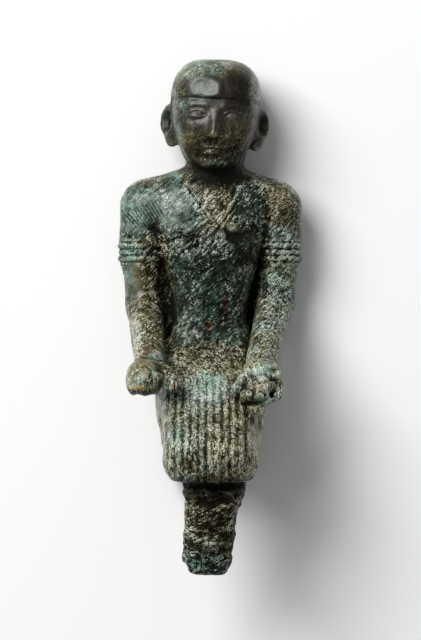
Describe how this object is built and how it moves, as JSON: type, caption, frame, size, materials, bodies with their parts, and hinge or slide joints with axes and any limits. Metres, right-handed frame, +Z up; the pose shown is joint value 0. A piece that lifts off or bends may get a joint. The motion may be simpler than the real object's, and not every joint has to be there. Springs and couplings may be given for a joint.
{
  "type": "kneeling priest statue",
  "caption": "Small solid bronze votive figure of a shaven priest kneeling with hands on thighs, with a rough tang below the knees for setting in a base; it lies on its back.",
  "frame": {"origin": "middle of the bounding box on the surface that the back lies on", "axes": "+X to the viewer's right of the figure's front, +Y from the tang towards the crown, +Z up, out of the figure's front"},
  "size_m": [0.0364, 0.1, 0.0394],
  "materials": {
    "bronze": "corroded patina, dull satin"
  },
  "bodies": {
    "root": {"kneeling_priest": "bronze"}
  },
  "joints": []
}
